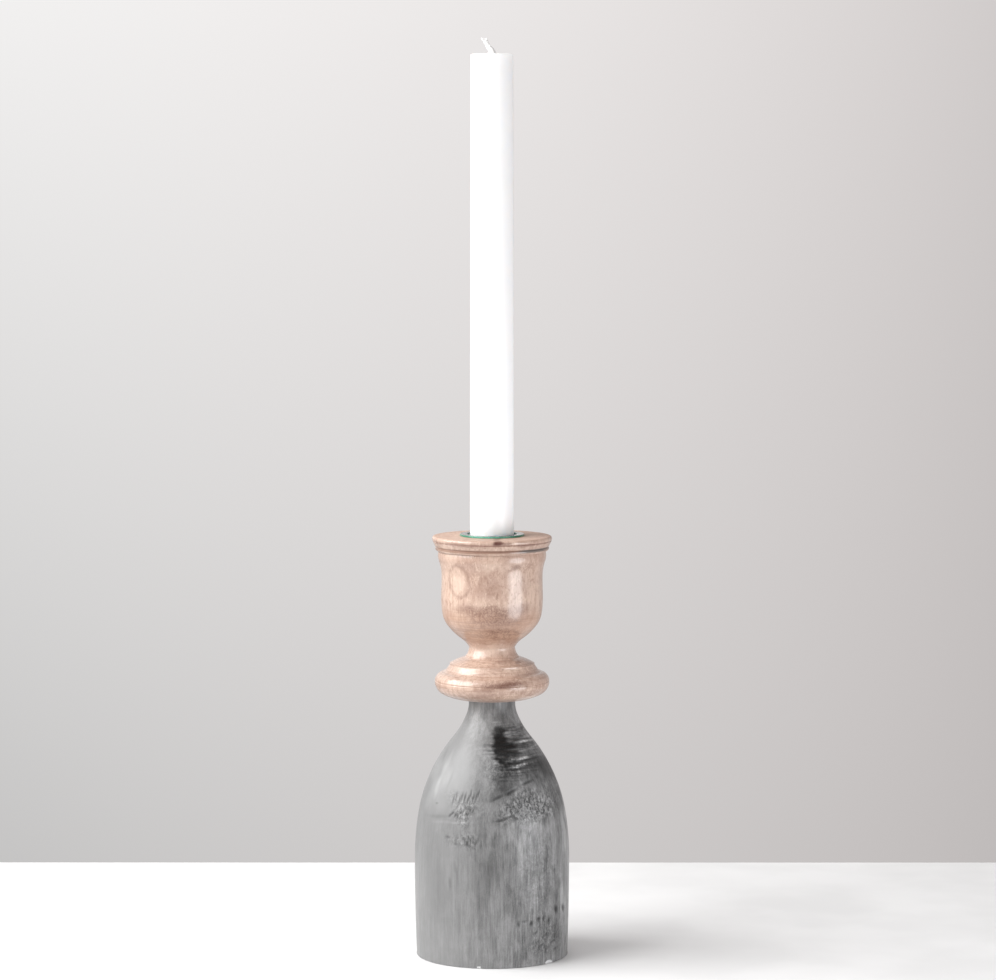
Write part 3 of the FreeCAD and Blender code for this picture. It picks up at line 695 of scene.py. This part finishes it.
def lacquered_wood():
    """Pale, pinkish wood under clear lacquer, with rings, pores and brown freckles."""
    p = Paint("pale_wood", Specular_IOR_Level=0.5, Coat_Roughness=0.18)
    # Growth rings about a pith that lies behind the turning axis.
    drift = p.noise((0.05, 0.05, 0.012), 2, 0.5)
    reach = p.math("MULTIPLY_ADD", drift, 30.0, p.reach(-9.0, 31.0))
    rings = p.band(p.math("SINE", p.times(reach, TAU / 2.6)), -0.9, 1.0)
    pores = p.noise((1.5, 1.5, 0.20), 4, 0.68)
    weave = p.noise((0.55, 0.55, 0.34), 5, 0.66, 0.6)
    fleck = p.noise((1.2, 1.2, 1.4), 3, 0.65, 0.4)
    crackle = p.noise((0.34, 0.34, 0.42), 3, 0.60, 0.5)
    lathe = p.noise((0.035, 0.035, 2.6), 3, 0.6)
    broad = p.noise((0.07, 0.07, 0.06), 2, 0.5)
    colour = p.mix(p.band(broad, 0.35, 0.65), rgb(0.49, 0.335, 0.265), rgb(0.60, 0.435, 0.345))
    colour = p.mix(p.times(rings, 0.36), colour, rgb(0.37, 0.23, 0.17))
    colour = p.mix(p.band(weave, 0.52, 0.66, 0.0, 0.66), colour, rgb(0.33, 0.20, 0.145))
    colour = p.mix(p.band(weave, 0.46, 0.32, 0.0, 0.60), colour, rgb(0.72, 0.55, 0.44))
    colour = p.mix(p.band(pores, 0.54, 0.66, 0.0, 0.42), colour, rgb(0.22, 0.13, 0.09))
    # The bowl's underside is browner. It and the foot show fine lathe lines.
    under = p.times(p.band(p.z, 186, 176), p.band(p.z, 163, 168))
    colour = p.mix(p.times(under, 0.55), colour, rgb(0.42, 0.24, 0.155))
    slope = p.math("MAXIMUM", under, p.band(p.z, 160, 157))
    lines = p.times(slope, p.band(lathe, 0.50, 0.62, 0.0, 0.48))
    colour = p.mix(lines, colour, rgb(0.28, 0.165, 0.115))
    # A net of fine dark lines lies where the noise crosses its middle.
    net = p.band(p.math("ABSOLUTE", p.math("SUBTRACT", crackle, 0.5)), 0.010, 0.060, 0.62, 0.0)
    freckles = p.math("MAXIMUM", p.band(fleck, 0.52, 0.62, 0.0, 0.50), net)
    colour = p.mix(p.times(p.mask("freckled"), freckles), colour, rgb(0.21, 0.112, 0.076))
    ragged = p.band(fleck, 0.35, 0.62, 0.65, 1.0)
    colour = p.mix(p.mask("pale"), colour, rgb(0.76, 0.59, 0.48))
    colour = p.mix(p.times(p.mask("stain"), ragged), colour, rgb(0.15, 0.065, 0.042))
    colour = p.mix(p.mask("knot"), colour, rgb(0.095, 0.027, 0.017))
    # Brown in the groove under the rim, and a trace of old grey stain in it on the right.
    groove = p.times(p.band(p.z, 212.9, 213.7), p.band(p.z, 215.2, 214.6))
    colour = p.mix(p.times(groove, 0.75), colour, rgb(0.23, 0.125, 0.085))
    trace = p.times(p.band(p.x, 12, 17), p.band(p.x, 30, 26))
    trace = p.times(p.times(groove, p.band(p.y, *FRONT)), trace)
    colour = p.mix(p.times(trace, 0.9), colour, rgb(0.15, 0.128, 0.115))
    # A thin brown line of painted shade runs round under the rim's bead, and the rim's top is a
    # little browner.
    fine = p.times(p.band(p.z, 216.8, 217.3), p.band(p.z, 218.2, 217.8))
    colour = p.mix(p.times(fine, p.band(weave, 0.35, 0.6, 0.4, 0.9)), colour, rgb(0.27, 0.15, 0.11))
    colour = p.mix(p.band(p.z, *RIM_TOP, 0.0, 0.38), colour, rgb(0.50, 0.33, 0.25))
    # The flat top has been wiped so often that it is dull and has little lacquer left.
    dull = p.band(p.z, *RIM_TOP, 0.0, 0.28)
    rough = p.plus(p.band(weave, 0.3, 0.7, 0.42, 0.52), dull)
    coat = p.band(p.z, *RIM_TOP, 0.8, 0.08)
    normal = p.bump(pores, 0.14, 0.08)
    normal = p.bump(p.times(lathe, slope), 0.35, 0.10, normal)
    return p.finish(Base_Color=colour, Roughness=rough, Normal=normal, Coat_Weight=coat)


def socket_glass():
    """Clear glass, green at the flange's edge, where light comes out, and in the floor."""
    p = Paint("socket_glass", Roughness=0.02, IOR=1.5)
    swirl = p.noise((0.2, 0.2, 0.2), 2)
    clear = p.mix(p.band(swirl, 0.35, 0.65), rgb(0.90, 0.975, 0.95), rgb(0.86, 0.96, 0.93))
    edge = p.band(p.reach(0.0, 0.0), 16.35, 16.75)
    colour = p.mix(edge, clear, rgb(0.11, 0.44, 0.29))
    through = p.math("MULTIPLY_ADD", edge, -0.5, 1.0)
    floor = p.band(p.z, 199.5, 198.4)
    colour = p.mix(p.times(floor, 0.5), colour, rgb(0.45, 0.75, 0.65))
    normal = p.bump(swirl, 0.05, 0.05)
    return p.finish(Base_Color=colour, Normal=normal, Transmission_Weight=through)


def white_wax():
    """Smooth white wax that lets a little light in, with faint flow marks up its side and a
    painted bluish shade at its foot.
    """
    depth = {"Subsurface_Weight": 1.0, "Subsurface_Scale": 0.014}
    depth["Subsurface_Radius"] = (1.0, 0.92, 0.85)
    p = Paint("white_wax", IOR=1.44, Coat_Weight=0.12, Coat_Roughness=0.25, **depth)
    bloom = p.noise((0.06, 0.06, 0.012), 3)
    grain = p.noise((0.5, 0.5, 0.12), 3)
    colour = p.mix(p.band(bloom, 0.3, 0.7), rgb(0.975, 0.975, 0.975), rgb(0.955, 0.958, 0.96))
    # Painted shade: just above the socket the wax turns bluish grey.
    foot = p.band(p.z, 227, 221.5)
    colour = p.mix(p.times(foot, 0.30), colour, rgb(0.80, 0.83, 0.90))
    rough = p.band(grain, 0.3, 0.7, 0.34, 0.46)
    normal = p.bump(grain, 0.10, 0.10)
    return p.finish(Base_Color=colour, Roughness=rough, Normal=normal)


def waxed_cotton():
    """Cotton yarn soaked in white wax: pale, with darker gaps and fine fibre."""
    p = Paint("waxed_cotton", Sheen_Weight=0.4, Sheen_Roughness=0.5)
    fibre = p.noise((3.0, 3.0, 1.0), 4, 0.65)
    colour = p.mix(p.band(fibre, 0.35, 0.65), rgb(0.97, 0.97, 0.96), rgb(0.91, 0.905, 0.89))
    colour = p.mix(p.band(p.z, 474.5, 477.2, 0.0, 0.20), colour, rgb(0.80, 0.79, 0.76))
    rough = p.band(fibre, 0.3, 0.7, 0.5, 0.75)
    return p.finish(Base_Color=colour, Roughness=rough, Normal=p.bump(fibre, 0.3, 0.05))


def plated_metal(name, light, dark, rough_low, rough_high):
    """Bright turned metal with brushing, stains and a little dulling."""
    p = Paint(name, Metallic=1.0)
    brushed = p.noise((2.5, 2.5, 0.4), 4, 0.6)
    stain = p.noise((0.35, 0.35, 0.35), 3, 0.55, 0.5)
    colour = p.mix(p.band(stain, 0.35, 0.7), light, dark)
    rough = p.band(brushed, 0.3, 0.7, rough_low, rough_high)
    return p.finish(Base_Color=colour, Roughness=rough, Normal=p.bump(brushed, 0.25, 0.05))


def wool_felt():
    """Dark grey felt: short fibres in two shades, matt, with a soft sheen."""
    p = Paint("wool_felt", Sheen_Weight=0.35, Sheen_Roughness=0.6, Specular_IOR_Level=0.15)
    fibre = p.noise((2.4, 0.9, 1.6), 5, 0.7, 0.8)
    cross = p.noise((0.8, 2.6, 1.6), 5, 0.7, 0.8)
    both = p.times(p.plus(fibre, cross), 0.5)
    wear = p.noise((0.05, 0.05, 0.05), 2)
    colour = p.mix(p.band(both, 0.38, 0.62), rgb(0.030, 0.032, 0.035), rgb(0.105, 0.108, 0.112))
    colour = p.mix(p.band(wear, 0.45, 0.7, 0.0, 0.35), colour, rgb(0.15, 0.15, 0.15))
    rough = p.band(both, 0.3, 0.7, 0.86, 0.98)
    return p.finish(Base_Color=colour, Roughness=rough, Normal=p.bump(both, 0.9, 0.35))


# ---- reliefs: depths in millimetres, cut inwards ----

BASE_RIDGES = (101.6, 104.9, 108.2, 110.9, 113.0, 115.6, 117.3)


def base_relief(x, y, z, out_r, out_z):
    """Worn flats, torn grain, tool ridges, cuts and two chips on the outside of the base."""
    outside = smooth(out_r, 0.0, 0.25) * smooth(z, 0.3, 1.2) * smooth(z, 134.2, 132.0)
    depth = 0.16 * value_noise(x / 11, y / 11, z / 40, 1)
    depth += 0.05 * value_noise(x / 1.7, y / 1.7, z / 16, 2)
    front = smooth(y, *FRONT)
    back = 1 - front
    still = wandering(x, y, z, 0.8, 6.0, 55)
    torn = np.maximum(covered(x, z, BASE_TORN, front), covered(x, z, BACK_TORN, back))
    depth += 0.05 * torn * smooth(value_noise(x / 1.5, y / 1.5, z / 2.1, 3), 0.55, 0.85)
    right = smooth(x, 1.0, 7.0) * smooth(x, 24.0, 14.0) * front
    for ridge in BASE_RIDGES:
        wave = ridge + 0.5 * (value_noise(x / 6, y / 6, z * 0 + ridge, 4) - 0.5)
        depth += 0.30 * right * smooth(np.abs(z - wave), 1.0, 0.2)
    cuts = [(BASE_NOTCHES, 0.40, front), (BASE_GOUGES, 0.35, front), (BASE_DASHES, 0.15, front)]
    for marks, deep, side in cuts + [(BACK_GOUGES, 0.40, back)]:
        for mark in marks:
            depth += deep * ellipse(*still, mark) * side
    chips = sum(ellipse(x, z, mark) for mark in CHIPS_CUT)
    return depth * outside + 0.7 * chips * front * smooth(out_r, 0.0, 0.25)


def cup_relief(x, y, z, out_r, out_z):
    """Fine lathe lines, a small knot in the rim of the cup and two pits in its foot."""
    radius = np.hypot(x, y)
    outside = np.maximum(smooth(out_r, 0.0, 0.3), smooth(out_z, 0.5, 0.9) * (radius > 17.2))
    outside = outside * (z > 135.6)
    front = smooth(y, *FRONT)
    depth = 0.05 * value_noise(x / 9, y / 9, z / 9, 11)
    lathe = value_noise(radius / 40, 0 * x, (z + 0.3 * radius) / 0.9, 12)
    depth += 0.05 * lathe * smooth(z, 184, 176)
    depth += 0.03 * lathe * (z > 210)
    depth += 0.25 * front * ellipse(x, z, (2.8, 219.3, 1.3, 0.8, 0))
    depth += 0.15 * front * ellipse(x, z, (13.6, 155.2, 1.4, 0.7, 0))
    depth += 0.12 * front * ellipse(x, z, (5.6, 152.3, 0.6, 0.6, 0))
    return depth * outside


def glass_relief(x, y, z, out_r, out_z):
    """The slight unevenness of pressed glass on the flange and inside the tube."""
    inside = smooth(-out_r, 0.2, 0.8) * (z < 219.5)
    top = smooth(out_z, 0.5, 0.9) * (z > 220)
    return 0.05 * value_noise(x / 5, y / 5, z / 8, 21) * np.maximum(inside, top)


def candle_relief(x, y, z, out_r, out_z):
    """Dipped wax is never quite even; the foot is pared thin at four places to fit a socket."""
    side = smooth(out_r, 0.5, 0.9)
    depth = 0.07 * value_noise(x / 9, y / 9, z / 45, 31)
    depth += 0.02 * value_noise(x / 3, y / 3, z / 9, 32)
    angle = np.arctan2(y, x)
    depth += 0.10 * smooth(z, 216, 204) * smooth(np.cos(4 * angle), 0.2, 0.9)
    top = smooth(out_z, 0.5, 0.95) * (np.hypot(x, y) > 1.4)
    return depth * side + 0.06 * top * value_noise(x / 2.5, y / 2.5, z, 33)


def felt_relief(x, y, z, out_r, out_z):
    """Fuzz on the underside and the edge of the felt."""
    below = smooth(-out_z, 0.5, 0.9)
    fuzz = value_noise(x / 0.9, y / 0.9, z, 41) + value_noise(x / 2.6, y / 2.6, z, 42)
    return below * 0.09 * fuzz + smooth(out_r, 0.3, 0.9) * 0.1 * fuzz


def insert_relief(x, y, z, out_r, out_z):
    """Straight knurling on the rings of the brass insert."""
    outside = smooth(out_r, 0.4, 0.9) * (np.hypot(x, y) > 4.7)
    teeth = 30
    wave = np.abs(((np.arctan2(y, x) / TAU * teeth) % 1.0) - 0.5) * 2
    return 0.30 * wave * outside


# ---- pieces that aren't plain turnings ----

def make_rod(material):
    """The rod with a real M6 thread: pitch 1 mm, cut into the CAD rod, faded at both ends."""
    low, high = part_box("threaded_rod")
    crest = high.x
    root = crest - 0.55 * MM
    chamfer = 0.7 * MM
    pitch = 1.0 * MM
    columns = 24
    rows_in_a_turn = 8
    steepness = 2.6
    root_share = 0.15
    count = round((high.z - low.z) / pitch * rows_in_a_turn)
    vertices = []
    faces = []
    for i in range(count + 1):
        z = low.z + (high.z - low.z) * i / count
        end = min(z - low.z, high.z - z) / chamfer
        limit = crest - chamfer * (1 - min(1.0, end))
        for k in range(columns):
            phase = ((z - low.z) / pitch - k / columns) % 1.0
            flank = min(1.0, max(0.0, abs(phase - 0.5) * steepness - root_share))
            radius = min(limit, root + (crest - root) * flank)
            a = TAU * k / columns
            vertices.append([radius * math.cos(a), radius * math.sin(a), z])
    for i in range(count):
        for k in range(columns):
            n = (k + 1) % columns
            row = i * columns
            faces.append([row + k, row + n, row + columns + n, row + columns + k])
    faces.append([k for k in reversed(range(columns))])
    faces.append([count * columns + k for k in range(columns)])
    body_slot_node = ("candlestick", "zinc_plated_steel", "threaded_rod")
    make_piece("rod_with_thread", vertices, faces, material, *body_slot_node)


def make_wick(material):
    """A wick of three plaited strands, four yarns to a strand, that fans out in two tufts. Wax
    has soaked up the foot of it, round a core that fills the gaps between the strands."""
    low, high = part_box("wick")
    top_of_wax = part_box("candle")[1].z
    lean_start = top_of_wax - 0.6 * MM
    bend = 2.4 * MM
    lean = math.radians(30)
    cone = 1.3 * MM
    strands = 3
    yarns = 4
    strand_pitch = 5.0 * MM
    yarn_pitch = 2.2 * MM
    twist = 0.24 * MM
    braid_radius = 0.46
    thin = 0.27
    thicker = 0.16
    swelling = 0.6
    fan_across = 1.15
    fan_along = 0.5
    stub = 6.5 * MM
    least_step = 0.06 * MM

    def sideways(z):
        rise = max(0.0, z - lean_start)
        return -rise * math.tan(lean) * min(1.0, rise / bend)

    random = np.random.default_rng(7)
    vertices = []
    faces = []
    fine_from = top_of_wax - 6 * MM
    buried = np.linspace(0, 1, 6, endpoint=False) ** 0.6 * (fine_from - low.z) + low.z
    shown = np.linspace(fine_from, high.z - 0.4 * MM, 60)
    heights = np.concatenate([buried, shown])
    # The candle ends in a low cone of wax. The soaked core is thickest where the cone begins.
    flat_top = top_of_wax - cone
    core = np.linspace(top_of_wax - 4 * MM, high.z - 1.6 * MM, 30)
    rise = (core - flat_top) / MM
    soaked = np.where(rise > -0.2, 1.05 + 1.5 * np.exp(-np.abs(rise) / 1.7), 0.95) * MM
    soaked[-1] = 0.4 * MM
    tube(vertices, faces, [[sideways(z), 0.0, z] for z in core], soaked, 16)
    for strand in range(strands):
        for yarn in range(yarns):
            tuft = -1 if (strand * yarns + yarn) % 2 else 1
            flare = random.uniform(0.5, 1.0)
            short = random.uniform(0.0, 0.9) * MM * (0.4 if tuft < 0 else 1.0)
            path = []
            for z in heights:
                t = (z - top_of_wax) / stub
                turn = z / strand_pitch * TAU + strand * TAU / strands
                spin = z / yarn_pitch * TAU + yarn * TAU / yarns
                shift = sideways(z)
                # The yarns swell above the wax, and at the end they fan out in two tufts.
                fan = max(0.0, min(1.0, t) - 0.55) / 0.45
                braid = braid_radius * MM * (1 - 0.5 * fan)
                x = shift + braid * math.cos(turn) + twist * math.cos(spin)
                y = 0.8 * braid * math.sin(2 * turn) + twist * math.sin(spin)
                x += tuft * flare * fan * fan * fan_across * MM
                y += flare * fan * fan * fan_along * MM * math.sin(7.0 * strand + 2.0 * yarn)
                above = min(1.0, max(0.0, t))
                swell = 1.0 + swelling * max(0.0, math.sin(math.pi * above))
                if t > -0.1:
                    x = shift + (x - shift) * swell
                    y = y * swell
                path.append([x, y, min(z, high.z - 0.35 * MM - short * fan)])
            size = [thin * MM] * len(buried)
            for k in range(len(shown)):
                bulge = math.sin(math.pi * k / (len(shown) - 1))
                size.append(MM * (thin + thicker * bulge))
            size[-1] = 0.12 * MM
            size[-2] = 0.22 * MM
            keep = [0]
            for k in range(1, len(path)):
                if math.dist(path[k], path[keep[-1]]) > least_step:
                    keep.append(k)
            tube(vertices, faces, [path[k] for k in keep], [size[k] for k in keep], 8)
    make_piece("plaited_wick", vertices, faces, material, "taper", "wick_cotton", "wick")


def make_object():
    """Every piece of the candlestick, each on its body."""
    zinc = plated_metal("zinc", rgb(0.62, 0.64, 0.66), rgb(0.42, 0.43, 0.43), 0.28, 0.42)
    brass = plated_metal("brass", rgb(0.78, 0.58, 0.27), rgb(0.52, 0.36, 0.15), 0.22, 0.38)
    for node in ("washer", "hex_nut"):
        for material_slot in NODES[node].material_slots:
            material_slot.material = zinc
    base = ("turned_base", 0.62 * MM, 400, base_relief, stained_wood())
    turn_piece("base_turning", *base, "candlestick", "grey_stained_wood", base_masks)
    cup = ("candle_cup", 0.45 * MM, 320, cup_relief, lacquered_wood())
    turn_piece("cup_turning", *cup, "candlestick", "natural_wood", cup_masks)
    glass = ("glass_liner", 0.6 * MM, 160, glass_relief, socket_glass())
    turn_piece("glass_socket", *glass, "liner", "clear_glass")
    candle = ("candle", 1.5 * MM, 120, candle_relief, white_wax())
    turn_piece("wax_candle", *candle, "taper", "white_wax")
    felt = ("felt_pad", 0.8 * MM, 180, felt_relief, wool_felt())
    turn_piece("felt_disc", *felt, "candlestick", "felt")
    insert = ("threaded_insert", 0.5 * MM, 240, insert_relief, brass)
    turn_piece("knurled_insert", *insert, "candlestick", "brass")
    make_rod(zinc)
    make_wick(waxed_cotton())


# ---- the stage: floor, light and camera ----

def make_floor():
    """A white table top whose far edge is behind the candlestick."""
    half_width = 0.34
    near = -0.32
    far = 0.252
    thickness = 0.012
    corners = [(-half_width, near), (half_width, near), (half_width, far), (-half_width, far)]
    vertices = [(x, y, 0.0) for x, y in corners] + [(x, y, -thickness) for x, y in corners]
    faces = [(0, 1, 2, 3), (7, 6, 5, 4)]
    faces += [(i, i + 4, (i + 1) % 4 + 4, (i + 1) % 4) for i in range(4)]
    mesh = bpy.data.meshes.new("table_top")
    mesh.from_pydata(vertices, [], faces)
    floor = bpy.data.objects.new("table_top", mesh)
    bpy.context.scene.collection.objects.link(floor)
    bevel = floor.modifiers.new("soft edge", "BEVEL")
    bevel.width = 0.0015
    bevel.segments = 3
    p = Paint("white_table", Roughness=0.6, Specular_IOR_Level=0.25)
    patchy = p.noise((0.012, 0.012, 0.012), 3)
    cloth = p.noise((0.35, 0.35, 0.35), 4, 0.6)
    colour = p.mix(p.band(patchy, 0.35, 0.65), rgb(0.86, 0.86, 0.86), rgb(0.80, 0.80, 0.80))
    mesh.materials.append(p.finish(Base_Color=colour, Normal=p.bump(cloth, 0.25, 0.3)))


def add_light(name, place, target, size, radiance, colour=(1, 1, 1), shape="RECTANGLE"):
    """A soft box that no camera sees. A radiance of 1 would look just white."""
    lamp = bpy.data.lights.new(name, "AREA")
    lamp.shape = shape
    lamp.size, lamp.size_y = size
    fill = math.pi / 4 if shape == "ELLIPSE" else 1
    lamp.energy = radiance * math.pi * size[0] * size[1] * fill
    lamp.color = colour
    light = bpy.data.objects.new(name, lamp)
    light.location = place
    way = np.array(target) - np.array(place)
    turn = math.atan2(way[0], -way[1])
    drop = math.atan2(math.hypot(way[0], way[1]), -way[2])
    light.rotation_euler = (drop, 0, turn + math.pi)
    light.visible_camera = False
    bpy.context.scene.collection.objects.link(light)


def around(azimuth, elevation, distance, height):
    """A place at a distance from the axis: azimuth 0 is the front, 90 the +X side."""
    a = math.radians(azimuth)
    e = math.radians(elevation)
    level = distance * math.cos(e)
    return (level * math.sin(a), -level * math.cos(a), height + distance * math.sin(e))


def make_light():
    """A large soft light from the left, a low window at the right and a pale wall."""
    add_light("key", around(-73, 34, 1.05, 0.16), (0, 0, 0.16), (1.15, 0.80), 6.9)
    window = around(54, -11, 0.72, 0.20)
    add_light("window", window, (0, 0, 0.20), (0.44, 0.46), 6.4, (0.95, 0.97, 1.0), "ELLIPSE")
    world = bpy.data.worlds.new("pale_wall")
    bpy.context.scene.world = world
    world.use_nodes = True
    wall = Nodes(world.node_tree)
    wall.tree.nodes.clear()
    where = wall.put("ShaderNodeTexCoord").outputs["Generated"]
    x, y, z = wall.put("ShaderNodeSeparateXYZ", {0: where}).outputs
    # The far wall is brighter to the left and upwards, most of all where the two meet.
    level = wall.math("MULTIPLY_ADD", x, -0.82, 0.77)
    level = wall.math("MULTIPLY_ADD", z, 0.93, level)
    level = wall.math("MULTIPLY_ADD", wall.times(x, z), -3.4, level)
    level = wall.math("MULTIPLY_ADD", wall.times(x, x), -3.5, level)
    level = wall.put("ShaderNodeClamp", {"Value": level, "Min": 0.45, "Max": 0.92}).outputs[0]
    # The room is dimmer towards the front and overhead.
    level = wall.times(level, wall.band(y, 0.5, -0.3, 1.0, 0.95, "LINEAR"))
    level = wall.times(level, wall.band(z, 0.35, 0.9, 1.0, 0.6, "LINEAR"))
    rightwards = wall.band(x, -0.15, 0.12, 0.0, 1.0, "LINEAR")
    tint = wall.mix(rightwards, rgb(1.0, 0.99, 0.985), rgb(1.03, 0.98, 0.97))
    shade = wall.put("ShaderNodeBackground", {"Color": tint, "Strength": level}).outputs[0]
    wall.put("ShaderNodeOutputWorld", {"Surface": shade})


def make_camera():
    """A long lens a little under two metres in front, looking slightly down."""
    downward = 4.95
    lens = bpy.data.cameras.new("camera")
    lens.lens = 130.88
    lens.sensor_width = 36.0
    camera = bpy.data.objects.new("camera", lens)
    camera.location = (0.0031, -1.873, 0.406)
    camera.rotation_euler = (math.radians(90 - downward), 0, 0)
    bpy.context.scene.collection.objects.link(camera)
    bpy.context.scene.camera = camera


bpy.context.scene.view_settings.view_transform = "Standard"
make_object()
make_floor()
make_light()
make_camera()
